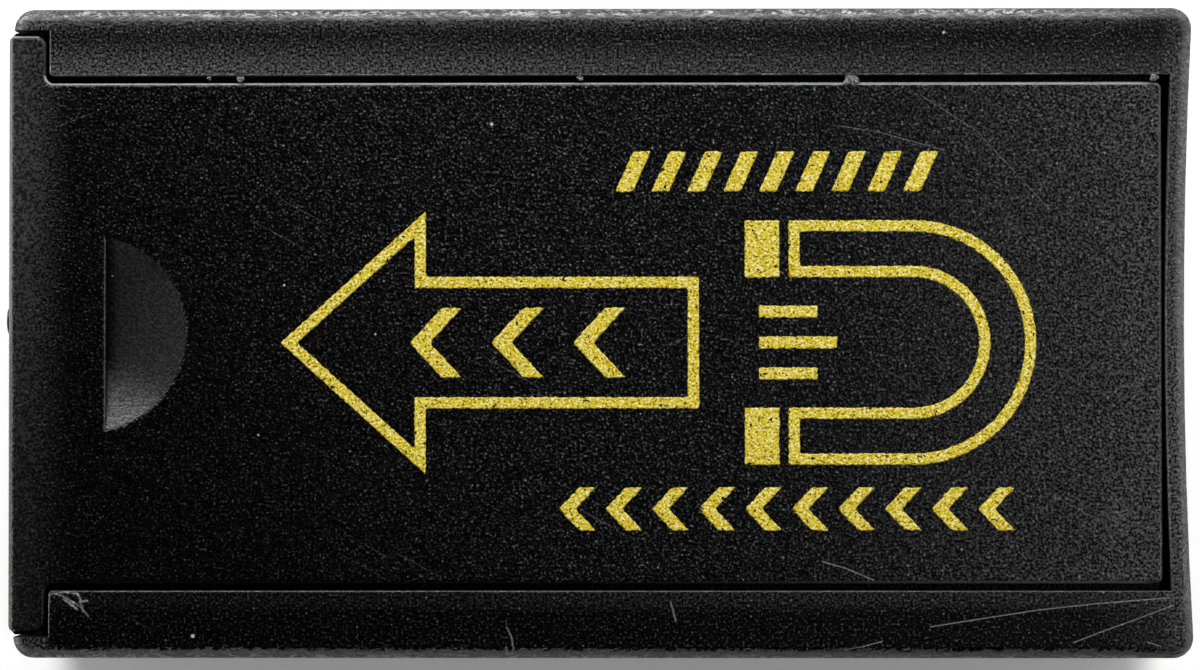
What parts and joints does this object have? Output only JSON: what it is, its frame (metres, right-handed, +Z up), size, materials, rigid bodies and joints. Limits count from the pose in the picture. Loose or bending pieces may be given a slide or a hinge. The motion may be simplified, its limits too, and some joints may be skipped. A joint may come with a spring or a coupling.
{
  "type": "magnetic key holder box",
  "caption": "Flat black plastic box with a lid that slides off one end between two rails, a thumb scoop, yellow arrow and magnet print, and a magnet riveted underneath.",
  "frame": {"origin": "middle of the footprint, on the plane of the magnet's pole faces, which the box stands on", "axes": "+X along the box, away from the end where the lid slides off; +Y across it, to the left when looking along +X; +Z up, from the magnet to the lid"},
  "size_m": [0.0844, 0.0462, 0.02],
  "materials": {
    "case_plastic": "satin",
    "lid_plastic": "satin",
    "print_ink": "satin",
    "zinc_steel": "satin",
    "ferrite": "matte",
    "glue": "satin",
    "rivet_alloy": "satin"
  },
  "bodies": {
    "case": {"case_body": "case_plastic", "magnet_channel": "zinc_steel", "magnet_block_left": "ferrite", "magnet_block_right": "ferrite", "magnet_bond_left": "glue", "magnet_bond_right": "glue", "magnet_rivet_front": "rivet_alloy", "magnet_rivet_back": "rivet_alloy", "rivet_washer_front": "zinc_steel", "rivet_washer_back": "zinc_steel"},
    "lid": {"sliding_lid": "lid_plastic"}
  },
  "joints": [
    {"name": "lid_slide", "type": "slide", "parent": "case", "child": "lid", "axis": [-1, 0, 0], "range_m": [0, 0.085]}
  ]
}
